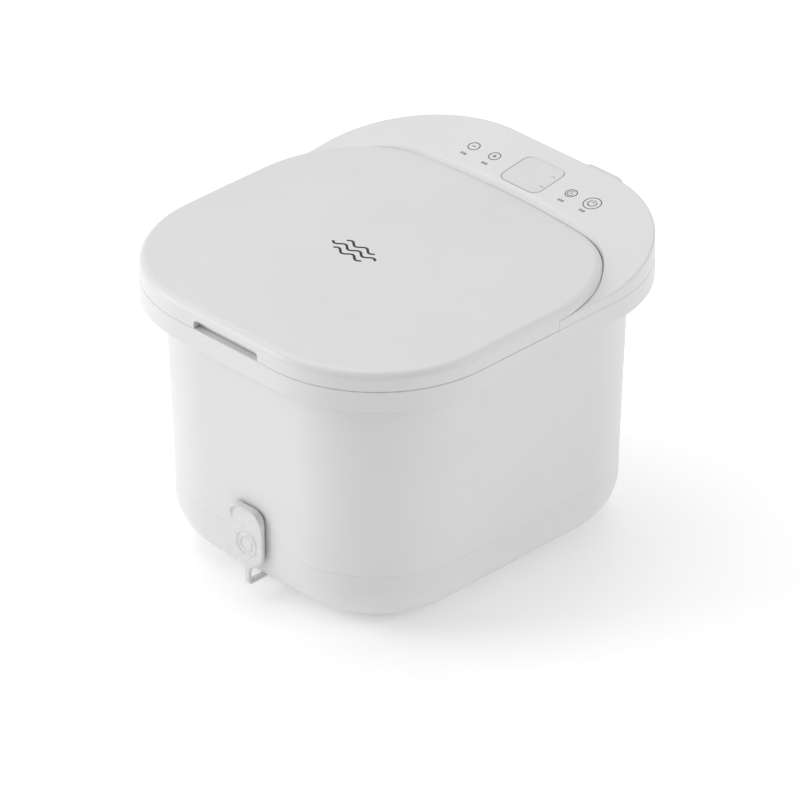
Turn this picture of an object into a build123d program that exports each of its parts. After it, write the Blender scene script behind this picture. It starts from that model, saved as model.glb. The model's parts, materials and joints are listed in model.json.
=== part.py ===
"""Heated foot bath with a lift-off lid: tub, rim, sloped control deck, drain plug and water circuit.

Millimetres, +Z up, +Y to the rear, +X to the right seen from the front.
The origin is on the floor, under the middle of the whole object.
"""
from build123d import *
import os
from math import asin, atan2, cos, degrees, hypot, radians, sin, sqrt

os.makedirs("parts", exist_ok=True)

# ------------------------------------------------------------------ driving dimensions
half_width = 180.0  # collar, side to side
half_depth = 203.0  # collar, front to rear
corner_r = 122.0  # plan corners of the collar
inlet_proud = 12.0  # mains inlet housing behind the collar
body_y = -inlet_proud / 2  # middle of the tub, so that the origin is under the middle of everything
wall = 3.0  # moulded walls
fine_gap = 0.3  # moulded pieces that meet edge to edge
seam_gap = 0.1  # base pan and outer shell, which meet nearly flush

foot_h = 5.0
underside_z = foot_h
seam_z = 60.0  # base pan meets the outer shell
basin_floor_z = 70.0
shell_top_z = 252.0
gasket_z = 255.0  # top of the ledge that carries the basin
flange_z = 256.0
collar_bottom_z = 240.0
parting_z = 259.0  # top of the collar
shelf_z = 268.2  # deck level around the rear of the lid

base_round_r = 42.7
under_collar_inset = 22.4  # outer wall below the collar
wall_draft = 6.0 / 192.0

lid_rear_y = 133.0  # rear of the lid's arch
seam_y = 13.0  # lid skirt ends and the deck begins
shoulder_r = 82.5  # rear shoulders of the lid
shoulder_x = 85.0
shoulder_y = 45.5
lid_edge_r = 7.5
lid_top_z = 280.0
crown_r = 5500.0  # the lid's top is a very flat dome
lid_middle_y = (lid_rear_y - half_depth) / 2

deck_bend_y = 75.0  # deck starts to rise here
deck_rise = 17.8  # from there to the rear edge
opening_inset = 34.0  # basin mouth inside the lid plan
basin_draft = 10.0 / 186.0

# flank arcs of the lid's outline, from its straight sides to the shoulders, tangent to both
flank_reach = half_width - shoulder_x
flank_run = shoulder_y - seam_y
flank_r = (flank_reach**2 + flank_run**2 - shoulder_r**2) / (2 * (flank_reach - shoulder_r))
flank_x = half_width - flank_r
flank_turn = degrees(atan2(flank_run, shoulder_x - flank_x))

# arch of the lid's rear edge, tangent to both shoulders
arch_run = lid_rear_y - shoulder_y
arch_r = (shoulder_x**2 + arch_run**2 - shoulder_r**2) / (2 * (arch_run - shoulder_r))
arch_y = lid_rear_y - arch_r
arch_turn = degrees(atan2(shoulder_y - arch_y, shoulder_x))
shoulder_turn = arch_turn - flank_turn

deck_slope = degrees(atan2(deck_rise, half_depth - deck_bend_y))
deck_low_z = shelf_z + 0.2


# ------------------------------------------------------------------ planes and plans
def level(z):
    """Horizontal plane at height z, centred on the tub."""
    return Plane((0, body_y, z))


def section(x):
    """Upright plane across X: its own x runs along +Y, its own y along +Z."""
    return Plane((x, body_y, 0), x_dir=(0, 1, 0), z_dir=(1, 0, 0))


def facing_front(y):
    """Upright plane that faces the front: its own x runs along +X, its own y along +Z."""
    return Plane((0, body_y + y, 0), x_dir=(1, 0, 0), z_dir=(0, -1, 0))


def deck_height(y):
    """Height of the deck's sloped top at y."""
    return deck_low_z + deck_rise * max(y - deck_bend_y, 0) / (half_depth - deck_bend_y)


def on_deck(x, y, depth=0.0):
    """Plane that lies in the sloped deck top at x, y, or below it by depth."""
    normal = (0, -sin(radians(deck_slope)), cos(radians(deck_slope)))
    origin = Vector(x, body_y + y, deck_height(y)) - Vector(*normal) * depth
    return Plane(origin, x_dir=(1, 0, 0), z_dir=normal)


def wall_inset(z):
    """How far the tapered outer wall stands inside the collar outline at height z."""
    return under_collar_inset + (collar_bottom_z - z) * wall_draft


def tub_plan(inset, mode=Mode.ADD):
    """Plan of the whole tub, moved in by inset."""
    RectangleRounded(
        2 * (half_width - inset), 2 * (half_depth - inset), corner_r - inset, mode=mode
    )


def lid_plan(inset, mode=Mode.ADD):
    """Plan of the lid, moved in by inset: rounded front corners, soft flanks and an arched rear edge."""
    corner_x = half_width - corner_r
    corner_y = corner_r - half_depth
    side_x = half_width - inset
    front_y = inset - half_depth
    with BuildLine() as outline:
        Line((-corner_x, front_y), (corner_x, front_y))
        CenterArc((corner_x, corner_y), corner_r - inset, -90, 90)
        Line((side_x, corner_y), (side_x, seam_y))
        CenterArc((flank_x, seam_y), flank_r - inset, 0, flank_turn)
        CenterArc((shoulder_x, shoulder_y), shoulder_r - inset, flank_turn, shoulder_turn)
        CenterArc((0, arch_y), arch_r - inset, arch_turn, 180 - 2 * arch_turn)
        CenterArc((-shoulder_x, shoulder_y), shoulder_r - inset, 180 - arch_turn, shoulder_turn)
        CenterArc((-flank_x, seam_y), flank_r - inset, 180 - flank_turn, flank_turn)
        Line((-side_x, seam_y), (-side_x, corner_y))
        CenterArc((-corner_x, corner_y), corner_r - inset, 180, 90)
    make_face(outline.line, mode=mode)


def front_half(y, mode=Mode.SUBTRACT):
    """Everything in front of y, as a sketch on a level plane."""
    with Locations((0, y - half_depth)):
        Rectangle(3 * half_width, 2 * half_depth, mode=mode)


def basin_inset(z):
    """Inset of the basin's inner wall from the lid plan at height z."""
    return opening_inset + (flange_z - z) * basin_draft


def tube(points, bend_r, outer_r, inner_r=0.0):
    """Hose or wire along straight runs joined by bends, hollow where inner_r is given."""
    with BuildPart() as piece:
        with BuildLine() as path:
            FilletPolyline(*points, radius=bend_r)
        with BuildSketch(Plane(path.line @ 0, z_dir=path.line % 0)):
            Circle(outer_r)
            if inner_r:
                Circle(inner_r, mode=Mode.SUBTRACT)
        sweep()
    return piece.part


# ------------------------------------------------------------------ base pan and feet
foot_spots = [(x, y) for x in (-84, 84) for y in (-105, 105)]
foot_r = 12.0
foot_stem_r = 3.0
post_spots = [(x, y) for x in (-95, 95) for y in (-75, 25)]
post_r = 6.0
screw_r = 1.75
screw_hole_r = 1.8
screw_head_r = 3.6
boss_top_z = 26.0
counterbore_r = 4.2
counterbore_z = 16.0
pan_inset = wall_inset(seam_z)

drain_z = 54.5
drain_bore_r = 9.2
spout_r = 11.5
spout_flange_r = 15.0
wall_front_y = pan_inset - half_depth  # outer face of the front wall at the drain

strap_z = 14.5
strap_w = 6.5
strap_t = 3.6
strap_slot_gap = 0.2


def pan_volume(shrink):
    """The base pan as a closed volume, with its outer faces moved in by shrink."""
    with BuildPart() as volume:
        with BuildSketch(level(underside_z + shrink)):
            tub_plan(pan_inset + shrink)
        extrude(amount=seam_z - underside_z)
        fillet(volume.faces().sort_by(Axis.Z)[0].edges(), base_round_r - shrink)
    return volume.part


pan_outside = pan_volume(0)
pan_inside = pan_volume(wall)
with BuildPart() as base_pan:
    add(pan_outside)
    add(pan_inside, mode=Mode.SUBTRACT)
    with BuildSketch(level(underside_z + wall)):
        with Locations(*post_spots):
            Circle(post_r + 2)
    extrude(amount=boss_top_z - underside_z - wall)
    with BuildSketch(level(underside_z)):
        with Locations(*post_spots):
            Circle(counterbore_r)
    extrude(amount=counterbore_z - underside_z, mode=Mode.SUBTRACT)
    with BuildSketch(level(underside_z)):
        with Locations(*post_spots):
            Circle(screw_hole_r)
        with Locations(*foot_spots):
            Circle(foot_stem_r)
    extrude(amount=boss_top_z, mode=Mode.SUBTRACT)
    with BuildSketch(facing_front(0)):
        with Locations((0, drain_z)):
            Circle(spout_r + fine_gap)
        with Locations((0, strap_z)):
            Rectangle(strap_w + strap_slot_gap, strap_t + strap_slot_gap)
    extrude(amount=half_depth, mode=Mode.SUBTRACT)
base_pan.part.label = "base_pan"
export_step(base_pan.part, "parts/base_pan.step")

foot_plug_r = 4.2
for number, spot in enumerate(foot_spots, start=1):
    with BuildPart() as foot:
        with BuildSketch(level(0)):
            with Locations(spot):
                Circle(foot_r)
        extrude(amount=foot_h)
        chamfer(foot.faces().sort_by(Axis.Z)[0].edges(), 1.0)
        with BuildSketch(level(foot_h)):
            with Locations(spot):
                Circle(foot_stem_r)
        extrude(amount=wall)
        with BuildSketch(level(foot_h + wall)):
            with Locations(spot):
                Circle(foot_plug_r)
        extrude(amount=2.5)
    foot.part.label = f"rubber_foot_{number}"
    export_step(foot.part, f"parts/rubber_foot_{number}.step")

# ------------------------------------------------------------------ outer shell
shell_bottom_z = seam_z + seam_gap
with BuildPart() as outer_shell:
    for z in (shell_bottom_z, shell_top_z):
        with BuildSketch(level(z)):
            tub_plan(wall_inset(z))
    loft()
    for z in (shell_bottom_z - 1, shell_top_z + 1):
        with BuildSketch(level(z)):
            tub_plan(wall_inset(z) + wall)
    loft(mode=Mode.SUBTRACT)
    with BuildSketch(facing_front(0)):
        with Locations((0, drain_z)):
            Circle(spout_r + fine_gap)
    extrude(amount=half_depth, mode=Mode.SUBTRACT)
outer_shell.part.label = "outer_shell"
export_step(outer_shell.part, "parts/outer_shell.step")

# ------------------------------------------------------------------ mains inlet place
inlet_x = 40.0
inlet_z = 261.0
inlet_w = 44.0
inlet_bottom_z = 243.0
inlet_top_z = 279.5
inlet_window_w = 29.0
inlet_window_h = 22.0
inlet_window_depth = 17.0
inlet_corner_r = 7.0

# ------------------------------------------------------------------ collar
ledge_out = 19.0
ledge_in = 30.0
flange_out = 26.0
room_window_w = 150.0
room_window_d = 44.0
room_window_y = 165.0
deck_screw_spots = [(-128, 132), (-90, 158), (90, 158), (128, 132)]
deck_screw_head_h = 2.5
deck_screw_len = 10.0
with BuildPart() as rim_collar:
    with BuildSketch(level(collar_bottom_z)):
        tub_plan(0)
        tub_plan(wall, mode=Mode.SUBTRACT)
    extrude(amount=parting_z - collar_bottom_z)
    with BuildSketch(level(flange_z)):
        tub_plan(0)
        lid_plan(flange_out, mode=Mode.SUBTRACT)
    extrude(amount=parting_z - flange_z)
    with BuildSketch(level(shell_top_z)):
        tub_plan(ledge_out)
        tub_plan(ledge_in, mode=Mode.SUBTRACT)
        lid_plan(ledge_out)
        lid_plan(ledge_in, mode=Mode.SUBTRACT)
    extrude(amount=gasket_z - shell_top_z)
    with BuildSketch(level(gasket_z)):
        tub_plan(ledge_out)
        lid_plan(flange_out, mode=Mode.SUBTRACT)
    extrude(amount=flange_z - gasket_z)
    fillet(rim_collar.faces().sort_by(Axis.Z)[0].outer_wire().edges(), 0.6)
    fillet(rim_collar.faces().sort_by(Axis.Z)[-1].outer_wire().edges(), 1.0)
    with BuildSketch(level(shell_top_z - 1)):
        with Locations((0, room_window_y)):
            RectangleRounded(room_window_w, room_window_d, 6)
        with Locations(*deck_screw_spots):
            Circle(screw_hole_r)
    extrude(amount=parting_z, mode=Mode.SUBTRACT)
    with BuildSketch(facing_front(half_depth - inlet_window_depth)):
        with Locations((inlet_x, inlet_z)):
            Rectangle(inlet_window_w, inlet_window_h)
    extrude(amount=-2 * inlet_window_depth, mode=Mode.SUBTRACT)
rim_collar.part.label = "rim_collar"
export_step(rim_collar.part, "parts/rim_collar.step")

# ------------------------------------------------------------------ control deck
lid_gap = 0.6  # between the lid's rear edge and the deck
deck_blend_r = 160.0
# the deck's rounded edge around the lid's rear: (out from the gap, height)
deck_roll = [(0, 272.2), (1.5, 274.2), (3.5, 275.9), (6.0, 277.0), (12.0, 279.4)]
panel_x = 2.6  # middle of the display and its keys
panel_y = 161.9
display_w = 47.0
display_d = 41.8
display_corner_r = 9.0
lens_t = 1.6
module_w = 34.0
module_h = 20.0


def deck_volume(shrink):
    """The deck as a closed volume with every face moved in by shrink."""
    beyond = half_depth + 20
    with BuildPart() as volume:
        with BuildSketch(level(parting_z)):
            tub_plan(fine_gap + shrink)
            lid_plan(flange_out - shrink, mode=Mode.SUBTRACT)
            front_half(seam_y + fine_gap + shrink)
        extrude(amount=40)
        with BuildSketch(section(0)):
            with BuildLine():
                surface = FilletPolyline(
                    (-beyond, deck_height(0) - shrink),
                    (deck_bend_y, deck_height(0) - shrink),
                    (beyond, deck_height(beyond) - shrink),
                    radius=deck_blend_r,
                )
                Line(surface @ 1, (beyond, parting_z + 60))
                Line((beyond, parting_z + 60), (-beyond, parting_z + 60))
                Line((-beyond, parting_z + 60), surface @ 0)
            make_face()
        extrude(amount=2 * half_width, both=True, mode=Mode.SUBTRACT)
        with BuildSketch(level(shelf_z - shrink)):
            lid_plan(-lid_gap - shrink)
        extrude(amount=40, mode=Mode.SUBTRACT)
        for out, height in deck_roll:
            with BuildSketch(level(height - shrink)):
                lid_plan(-lid_gap - shrink - out)
        loft(ruled=True, mode=Mode.SUBTRACT)
    return volume.part


deck_outside = deck_volume(0)
deck_inside = deck_volume(wall)
with BuildPart() as control_deck:
    add(deck_outside)
    top_edges = control_deck.faces().filter_by(lambda f: f.normal_at().Z > 0.97).sort_by(SortBy.AREA)
    rim_edges = [
        edge
        for edge in top_edges[-1].edges()
        if abs(edge.center().X) > half_width - 4 or edge.center().Y > body_y + lid_rear_y + 30
    ]
    fillet(rim_edges, 2.0)
    add(deck_inside, mode=Mode.SUBTRACT)
    with BuildSketch(on_deck(panel_x, panel_y)):
        RectangleRounded(display_w + 0.3, display_d + 0.3, display_corner_r)
    extrude(amount=-lens_t, mode=Mode.SUBTRACT)
    with BuildSketch(on_deck(panel_x, panel_y)):
        Rectangle(module_w + 0.4, module_h + 0.4)
    extrude(amount=-3 * wall, mode=Mode.SUBTRACT)
    with BuildSketch(facing_front(half_depth - inlet_window_depth)):
        with Locations((inlet_x, inlet_z)):
            Rectangle(inlet_window_w, inlet_window_h)
    extrude(amount=-2 * inlet_window_depth, mode=Mode.SUBTRACT)
    for x, y in deck_screw_spots:
        boss_h = deck_height(y) - parting_z - wall / 2
        with BuildSketch(level(parting_z)):
            with Locations((x, y)):
                Circle(4.5)
        extrude(amount=boss_h)
        with BuildSketch(level(parting_z)):
            with Locations((x, y)):
                Circle(screw_hole_r)
        extrude(amount=7.0, mode=Mode.SUBTRACT)
control_deck.part.label = "control_deck"
export_step(control_deck.part, "parts/control_deck.step")

with BuildPart() as display_lens:
    with BuildSketch(on_deck(panel_x, panel_y)):
        RectangleRounded(display_w, display_d, display_corner_r)
    extrude(amount=-lens_t)
display_lens.part.label = "display_lens"
export_step(display_lens.part, "parts/display_lens.step")

board_depth = 12.0
board_t = 1.6
with BuildPart() as display_module:
    with BuildSketch(on_deck(panel_x, panel_y, lens_t)):
        Rectangle(module_w, module_h)
    extrude(amount=-(board_depth - lens_t))
display_module.part.label = "display_module"
export_step(display_module.part, "parts/display_module.step")

board_w = 160.0
board_h = 32.0
key_spots = [-71.5, -46.3, 46.3, 71.5]  # each side of the panel's middle
with BuildPart() as control_board:
    with BuildSketch(on_deck(panel_x, panel_y, board_depth)):
        RectangleRounded(board_w, board_h, 2)
    extrude(amount=-board_t)
control_board.part.label = "control_board"
export_step(control_board.part, "parts/control_board.step")

with BuildPart() as touch_pads:
    with BuildSketch(on_deck(panel_x, panel_y, wall)):
        with Locations(*[(x, 0) for x in key_spots]):
            Circle(4.0)
            Circle(2.0, mode=Mode.SUBTRACT)
    extrude(amount=-(board_depth - wall))
touch_pads.part.label = "touch_pads"
export_step(touch_pads.part, "parts/touch_pads.step")

with BuildPart() as buzzer:
    with BuildSketch(on_deck(panel_x, panel_y, board_depth + board_t)):
        with Locations((-20, 0)):
            Circle(6.0)
    extrude(amount=-5.0)
buzzer.part.label = "buzzer"
export_step(buzzer.part, "parts/buzzer.step")

with BuildPart() as deck_screws:
    with BuildSketch(level(gasket_z - deck_screw_head_h)):
        with Locations(*deck_screw_spots):
            Circle(screw_head_r)
    extrude(amount=deck_screw_head_h)
    with BuildSketch(level(gasket_z)):
        with Locations(*deck_screw_spots):
            Circle(screw_r)
    extrude(amount=deck_screw_len)
deck_screws.part.label = "deck_screws"
export_step(deck_screws.part, "parts/deck_screws.step")

# ------------------------------------------------------------------ mains inlet
with BuildPart() as mains_inlet_housing:
    with BuildSketch(facing_front(half_depth)):
        with Locations((inlet_x, (inlet_bottom_z + inlet_top_z) / 2)):
            RectangleRounded(inlet_w, inlet_top_z - inlet_bottom_z, inlet_corner_r)
        with Locations((inlet_x, inlet_z)):
            Rectangle(inlet_window_w - 1.4, inlet_window_h - 1.4, mode=Mode.SUBTRACT)
    extrude(amount=-inlet_proud)
    fillet(
        mains_inlet_housing.faces().sort_by(Axis.Y)[-1].outer_wire().edges(), 3.0
    )
mains_inlet_housing.part.label = "mains_inlet_housing"
export_step(mains_inlet_housing.part, "parts/mains_inlet_housing.step")

socket_w = 27.0
socket_h = 20.0
socket_depth = 26.0
socket_cavity_w = 24.0
socket_cavity_h = 16.6
socket_mouth_y = half_depth + inlet_proud - 2.0
pin_spots = [(inlet_x - 7, inlet_z - 2), (inlet_x, inlet_z + 2), (inlet_x + 7, inlet_z - 2)]
pin_w = 2.0
pin_h = 4.0
pin_recess = 5.0
pin_len = 24.0
with BuildPart() as mains_socket:
    with BuildSketch(facing_front(socket_mouth_y)):
        with Locations((inlet_x, inlet_z)):
            Rectangle(socket_w, socket_h)
    extrude(amount=socket_depth)
    with BuildSketch(facing_front(socket_mouth_y)):
        with Locations((inlet_x, inlet_z)):
            cavity = Rectangle(socket_cavity_w, socket_cavity_h)
        chamfer(cavity.vertices().group_by(Axis.Y)[-1], 4.5)
    extrude(amount=socket_depth - 5, mode=Mode.SUBTRACT)
    with BuildSketch(facing_front(socket_mouth_y)):
        with Locations(*pin_spots):
            Rectangle(pin_w, pin_h)
    extrude(amount=socket_depth, mode=Mode.SUBTRACT)
mains_socket.part.label = "mains_socket"
export_step(mains_socket.part, "parts/mains_socket.step")

with BuildPart() as socket_pins:
    with BuildSketch(facing_front(socket_mouth_y - pin_recess)):
        with Locations(*pin_spots):
            Rectangle(pin_w, pin_h)
    extrude(amount=pin_len)
socket_pins.part.label = "socket_pins"
export_step(socket_pins.part, "parts/socket_pins.step")

# ------------------------------------------------------------------ basin
drain_port = (0, -128)
pump_spot = (-45, 30)
return_spot = (80, 47)
sensor_spot = (-4, 62)
port_r = 8.0
sensor_r = 3.0
basin_round_r = 20.0


def basin_volume(bottom_z, outset, round_r):
    """Tapered basin volume from its mouth down to bottom_z, larger by outset all round."""
    with BuildPart() as volume:
        for z in (bottom_z, parting_z):
            with BuildSketch(level(z)):
                lid_plan(basin_inset(z) - outset)
        loft()
        fillet(volume.faces().sort_by(Axis.Z)[0].edges(), round_r)
    return volume.part


basin_outside = basin_volume(basin_floor_z - wall, wall, basin_round_r)
basin_inside = basin_volume(basin_floor_z, 0, basin_round_r - wall)
with BuildPart() as basin:
    add(basin_outside)
    with BuildSketch(level(flange_z)):
        lid_plan(flange_out + fine_gap)
    extrude(amount=parting_z - flange_z)
    with BuildSketch(level(boss_top_z)):
        with Locations(*post_spots):
            Circle(post_r)
    extrude(amount=basin_floor_z - wall - boss_top_z)
    add(basin_inside, mode=Mode.SUBTRACT)
    with BuildSketch(level(boss_top_z)):
        with Locations(*post_spots):
            Circle(screw_hole_r)
    extrude(amount=20, mode=Mode.SUBTRACT)
    with BuildSketch(level(basin_floor_z - 2 * wall)):
        with Locations(drain_port):
            Circle(drain_bore_r)
        with Locations(pump_spot, return_spot):
            Circle(port_r)
        with Locations(sensor_spot):
            Circle(sensor_r)
    extrude(amount=3 * wall, mode=Mode.SUBTRACT)
basin.part.label = "basin"
export_step(basin.part, "parts/basin.step")

with BuildPart() as basin_gasket:
    with BuildSketch(level(gasket_z)):
        lid_plan(flange_out + 1)
        lid_plan(ledge_in, mode=Mode.SUBTRACT)
    extrude(amount=flange_z - gasket_z)
basin_gasket.part.label = "basin_gasket"
export_step(basin_gasket.part, "parts/basin_gasket.step")

with BuildPart() as base_screws:
    with BuildSketch(level(counterbore_z - 3)):
        with Locations(*post_spots):
            Circle(screw_head_r)
    extrude(amount=3)
    with BuildSketch(level(counterbore_z)):
        with Locations(*post_spots):
            Circle(screw_r)
    extrude(amount=25)
base_screws.part.label = "base_screws"
export_step(base_screws.part, "parts/base_screws.step")

# ------------------------------------------------------------------ lid
lid_skirt_z = parting_z + 0.4
lid_under_rear_z = shelf_z + 0.6
lid_screw_spots = [(x, y) for x in (-95, 95) for y in (-120, 45)]
lid_boss_r = 4.0
lid_boss_top_z = 276.0  # inside the lid's top wall
notch_half_w = 38.6
notch_h = 8.5
notch_depth = 7.4
notch_corner_r = 4.5
liner_out = 27.0
liner_z = 262.0
liner_t = 2.4
liner_h = 10.0
lid_screw_len = 10.0
roll_run = 24.0  # the lid's top rolls off over this run before its rear edge
roll_r = 110.0


def above_crown(drop):
    """The space above the lid's crowned top, or above the same surface lowered by drop."""
    reach = 1.5 * half_depth
    top_z = lid_top_z - drop
    middle = Plane((0, body_y + lid_middle_y, 0), x_dir=(1, 0, 0), z_dir=(0, -1, 0))
    arc_points = [(x, top_z - crown_r + sqrt(crown_r**2 - x**2)) for x in (0, reach / 2, reach)]
    with BuildPart() as space:
        with BuildSketch(middle):
            with BuildLine():
                ThreePointArc(*arc_points)
                Polyline(arc_points[2], (reach, top_z + 60), (0, top_z + 60), arc_points[0])
            make_face()
        revolve(axis=Axis((0, body_y + lid_middle_y, 0), (0, 0, 1)))
    return space.part


def above_roll(drop):
    """The space above the roll-off at the lid's rear, which leaves the crown without a crease."""
    crown_axis_z = lid_top_z - drop - crown_r
    start_y = lid_rear_y - roll_run
    tilt = asin((start_y - lid_middle_y) / crown_r)
    centre_y = start_y - roll_r * sin(tilt)
    centre_z = crown_axis_z + (crown_r - roll_r) * cos(tilt)
    with BuildPart() as space:
        with BuildSketch(section(0)):
            with BuildLine():
                roll = CenterArc((centre_y, centre_z), roll_r, 55 - degrees(tilt), 35)
                Polyline(roll @ 1, (start_y, lid_top_z + 60), (lid_rear_y + 60, lid_top_z + 60), roll @ 0)
            make_face()
        revolve(axis=Axis((0, 0, crown_axis_z), (0, 1, 0)), revolution_arc=3)
        mirror(about=Plane.YZ)
    return space.part


def lid_volume(bottom_z, shrink):
    """The lid as a closed volume from bottom_z up, with its outer faces moved in by shrink."""
    with BuildPart() as volume:
        with BuildSketch(level(bottom_z)):
            lid_plan(fine_gap + shrink)
        extrude(amount=40)
        add(above_crown(shrink), mode=Mode.SUBTRACT)
        add(above_roll(shrink), mode=Mode.SUBTRACT)
        top_edges = volume.edges().filter_by(lambda e: e.center().Z > lid_top_z - 9)
        roll_start = body_y + lid_rear_y - roll_run
        fillet([e for e in top_edges if abs(e.center().Y - roll_start) > 1], lid_edge_r - shrink)
    return volume.part


lid_outside = lid_volume(lid_skirt_z, 0)
lid_inside = lid_volume(lid_skirt_z - 1, wall)
with BuildPart() as lid_shell:
    add(lid_outside)
    add(lid_inside, mode=Mode.SUBTRACT)
    with BuildSketch(level(lid_skirt_z - 1)):
        with Locations((0, seam_y + half_depth)):
            Rectangle(3 * half_width, 2 * half_depth)
    extrude(amount=lid_under_rear_z - lid_skirt_z + 1, mode=Mode.SUBTRACT)
    with BuildSketch(facing_front(notch_depth + 2 - half_depth)):
        with Locations((0, lid_skirt_z + 0.4 + (notch_h + 2) / 2)):
            Rectangle(2 * notch_half_w + 4, notch_h + 2)
    extrude(amount=notch_depth - 0.4)
    with BuildSketch(facing_front(notch_depth - half_depth)):
        with Locations((0, lid_skirt_z - 1 + (notch_h + 1) / 2)):
            notch = Rectangle(2 * notch_half_w, notch_h + 1)
        fillet(notch.vertices().group_by(Axis.Y)[-1], notch_corner_r)
    extrude(amount=2 * notch_depth, mode=Mode.SUBTRACT)
    with BuildSketch(level(liner_z + liner_t)):
        with Locations(*lid_screw_spots):
            Circle(lid_boss_r)
            Circle(screw_r, mode=Mode.SUBTRACT)
    extrude(amount=lid_boss_top_z - liner_z - liner_t)
lid_shell.part.label = "lid_shell"
export_step(lid_shell.part, "parts/lid_shell.step")

with BuildPart() as lid_liner:
    with BuildSketch(level(liner_z)):
        lid_plan(liner_out)
        with Locations(*lid_screw_spots):
            Circle(screw_hole_r, mode=Mode.SUBTRACT)
    extrude(amount=liner_t)
    with BuildSketch(level(liner_z)):
        lid_plan(liner_out)
        lid_plan(liner_out + liner_t, mode=Mode.SUBTRACT)
    extrude(amount=liner_h)
lid_liner.part.label = "lid_liner"
export_step(lid_liner.part, "parts/lid_liner.step")

with BuildPart() as lid_gasket:
    with BuildSketch(level(parting_z)):
        lid_plan(liner_out + 1.2)
        lid_plan(liner_out + 5.2, mode=Mode.SUBTRACT)
    extrude(amount=liner_z - parting_z)
lid_gasket.part.label = "lid_gasket"
export_step(lid_gasket.part, "parts/lid_gasket.step")

with BuildPart() as lid_screws:
    with BuildSketch(level(liner_z - 2.0)):
        with Locations(*lid_screw_spots):
            Circle(screw_head_r)
    extrude(amount=2.0)
    with BuildSketch(level(liner_z)):
        with Locations(*lid_screw_spots):
            Circle(screw_r)
    extrude(amount=lid_screw_len)
lid_screws.part.label = "lid_screws"
export_step(lid_screws.part, "parts/lid_screws.step")

# ------------------------------------------------------------------ drain
elbow_r = 11.5
elbow_in_r = 9.0
elbow_end_y = wall_front_y + 18
elbow_points = [
    (0, body_y + drain_port[1], basin_floor_z - wall),
    (0, body_y + drain_port[1], drain_z),
    (0, body_y + elbow_end_y, drain_z),
]
drain_elbow = tube(elbow_points, 12.0, elbow_r, elbow_in_r)
drain_elbow.label = "drain_elbow"
export_step(drain_elbow, "parts/drain_elbow.step")

flange_t = 1.6
spout_flange_y = wall_front_y - 0.5
with BuildPart() as drain_spout:
    with BuildSketch(facing_front(elbow_end_y)):
        with Locations((0, drain_z)):
            Circle(spout_r)
    extrude(amount=elbow_end_y - spout_flange_y)
    with BuildSketch(facing_front(spout_flange_y)):
        with Locations((0, drain_z)):
            Circle(spout_flange_r)
    extrude(amount=flange_t)
    with BuildSketch(facing_front(elbow_end_y)):
        with Locations((0, drain_z)):
            Circle(drain_bore_r)
    extrude(amount=40, mode=Mode.SUBTRACT)
drain_spout.part.label = "drain_spout"
export_step(drain_spout.part, "parts/drain_spout.step")

plug_back_y = wall_front_y - 2.5
plug_t = 3.8
plug_w = 39.5
plug_top_z = 91.5
plug_bottom_z = 33.0
plug_corner_r = 12.5
tongue_fillet_r = 3.8
stem_base_r = 8.6
stem_tip_r = 6.9
stem_len = 11.0
lip_z = 85.0
lip_proud = 3.0
hinge_y = plug_back_y - plug_t / 2
ring_z = drain_z


def plug_outline():
    """Outline of the drain plug's plate with its tongue, on a plane that faces the front."""
    with Locations((0, (plug_top_z + plug_bottom_z) / 2)):
        RectangleRounded(plug_w, plug_top_z - plug_bottom_z, plug_corner_r)
    with Locations((0, (plug_bottom_z + strap_z) / 2 + 1)):
        Rectangle(strap_w, plug_bottom_z - strap_z + 2)


with BuildPart() as drain_plug:
    with BuildSketch(facing_front(plug_back_y)) as plate:
        plug_outline()
        fillet(
            plate.vertices().sort_by(lambda v: hypot(abs(v.X) - strap_w / 2, v.Y - plug_bottom_z))[:2],
            tongue_fillet_r,
        )
    extrude(amount=plug_t)
    with BuildSketch(section(-strap_w / 2)):
        with Locations((hinge_y, strap_z)):
            Circle(plug_t / 2)
    extrude(amount=strap_w)
    fillet(
        drain_plug.faces().sort_by(Axis.Y)[0].edges().filter_by(lambda e: e.center().Z > 32), 0.8
    )
    with BuildSketch(facing_front(plug_back_y - plug_t)) as lip:
        with Locations((0, (plug_top_z + plug_bottom_z) / 2)):
            RectangleRounded(plug_w - 1.6, plug_top_z - plug_bottom_z - 1.6, plug_corner_r - 0.8)
        with Locations((0, lip_z - 50)):
            Rectangle(2 * plug_w, 100, mode=Mode.SUBTRACT)
    extrude(amount=lip_proud)
    fillet(drain_plug.faces().sort_by(Axis.Y)[0].edges(), 1.0)
    with BuildSketch(facing_front(plug_back_y - plug_t)):
        with Locations((0, ring_z)):
            Circle(12.0)
            Circle(10.4, mode=Mode.SUBTRACT)
    extrude(amount=0.7)
    with BuildSketch(facing_front(plug_back_y - plug_t)):
        with Locations((0, ring_z)):
            Circle(7.4)
            Circle(6.2, mode=Mode.SUBTRACT)
            Rectangle(4.0, 20, rotation=40, mode=Mode.SUBTRACT)
    extrude(amount=0.6)
    with BuildSketch(facing_front(plug_back_y)):
        with Locations((0, drain_z)):
            Circle(stem_base_r)
    with BuildSketch(facing_front(plug_back_y + stem_len)):
        with Locations((0, drain_z)):
            Circle(stem_tip_r)
    loft()
drain_plug.part.label = "drain_plug"
export_step(drain_plug.part, "parts/drain_plug.step")

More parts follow.
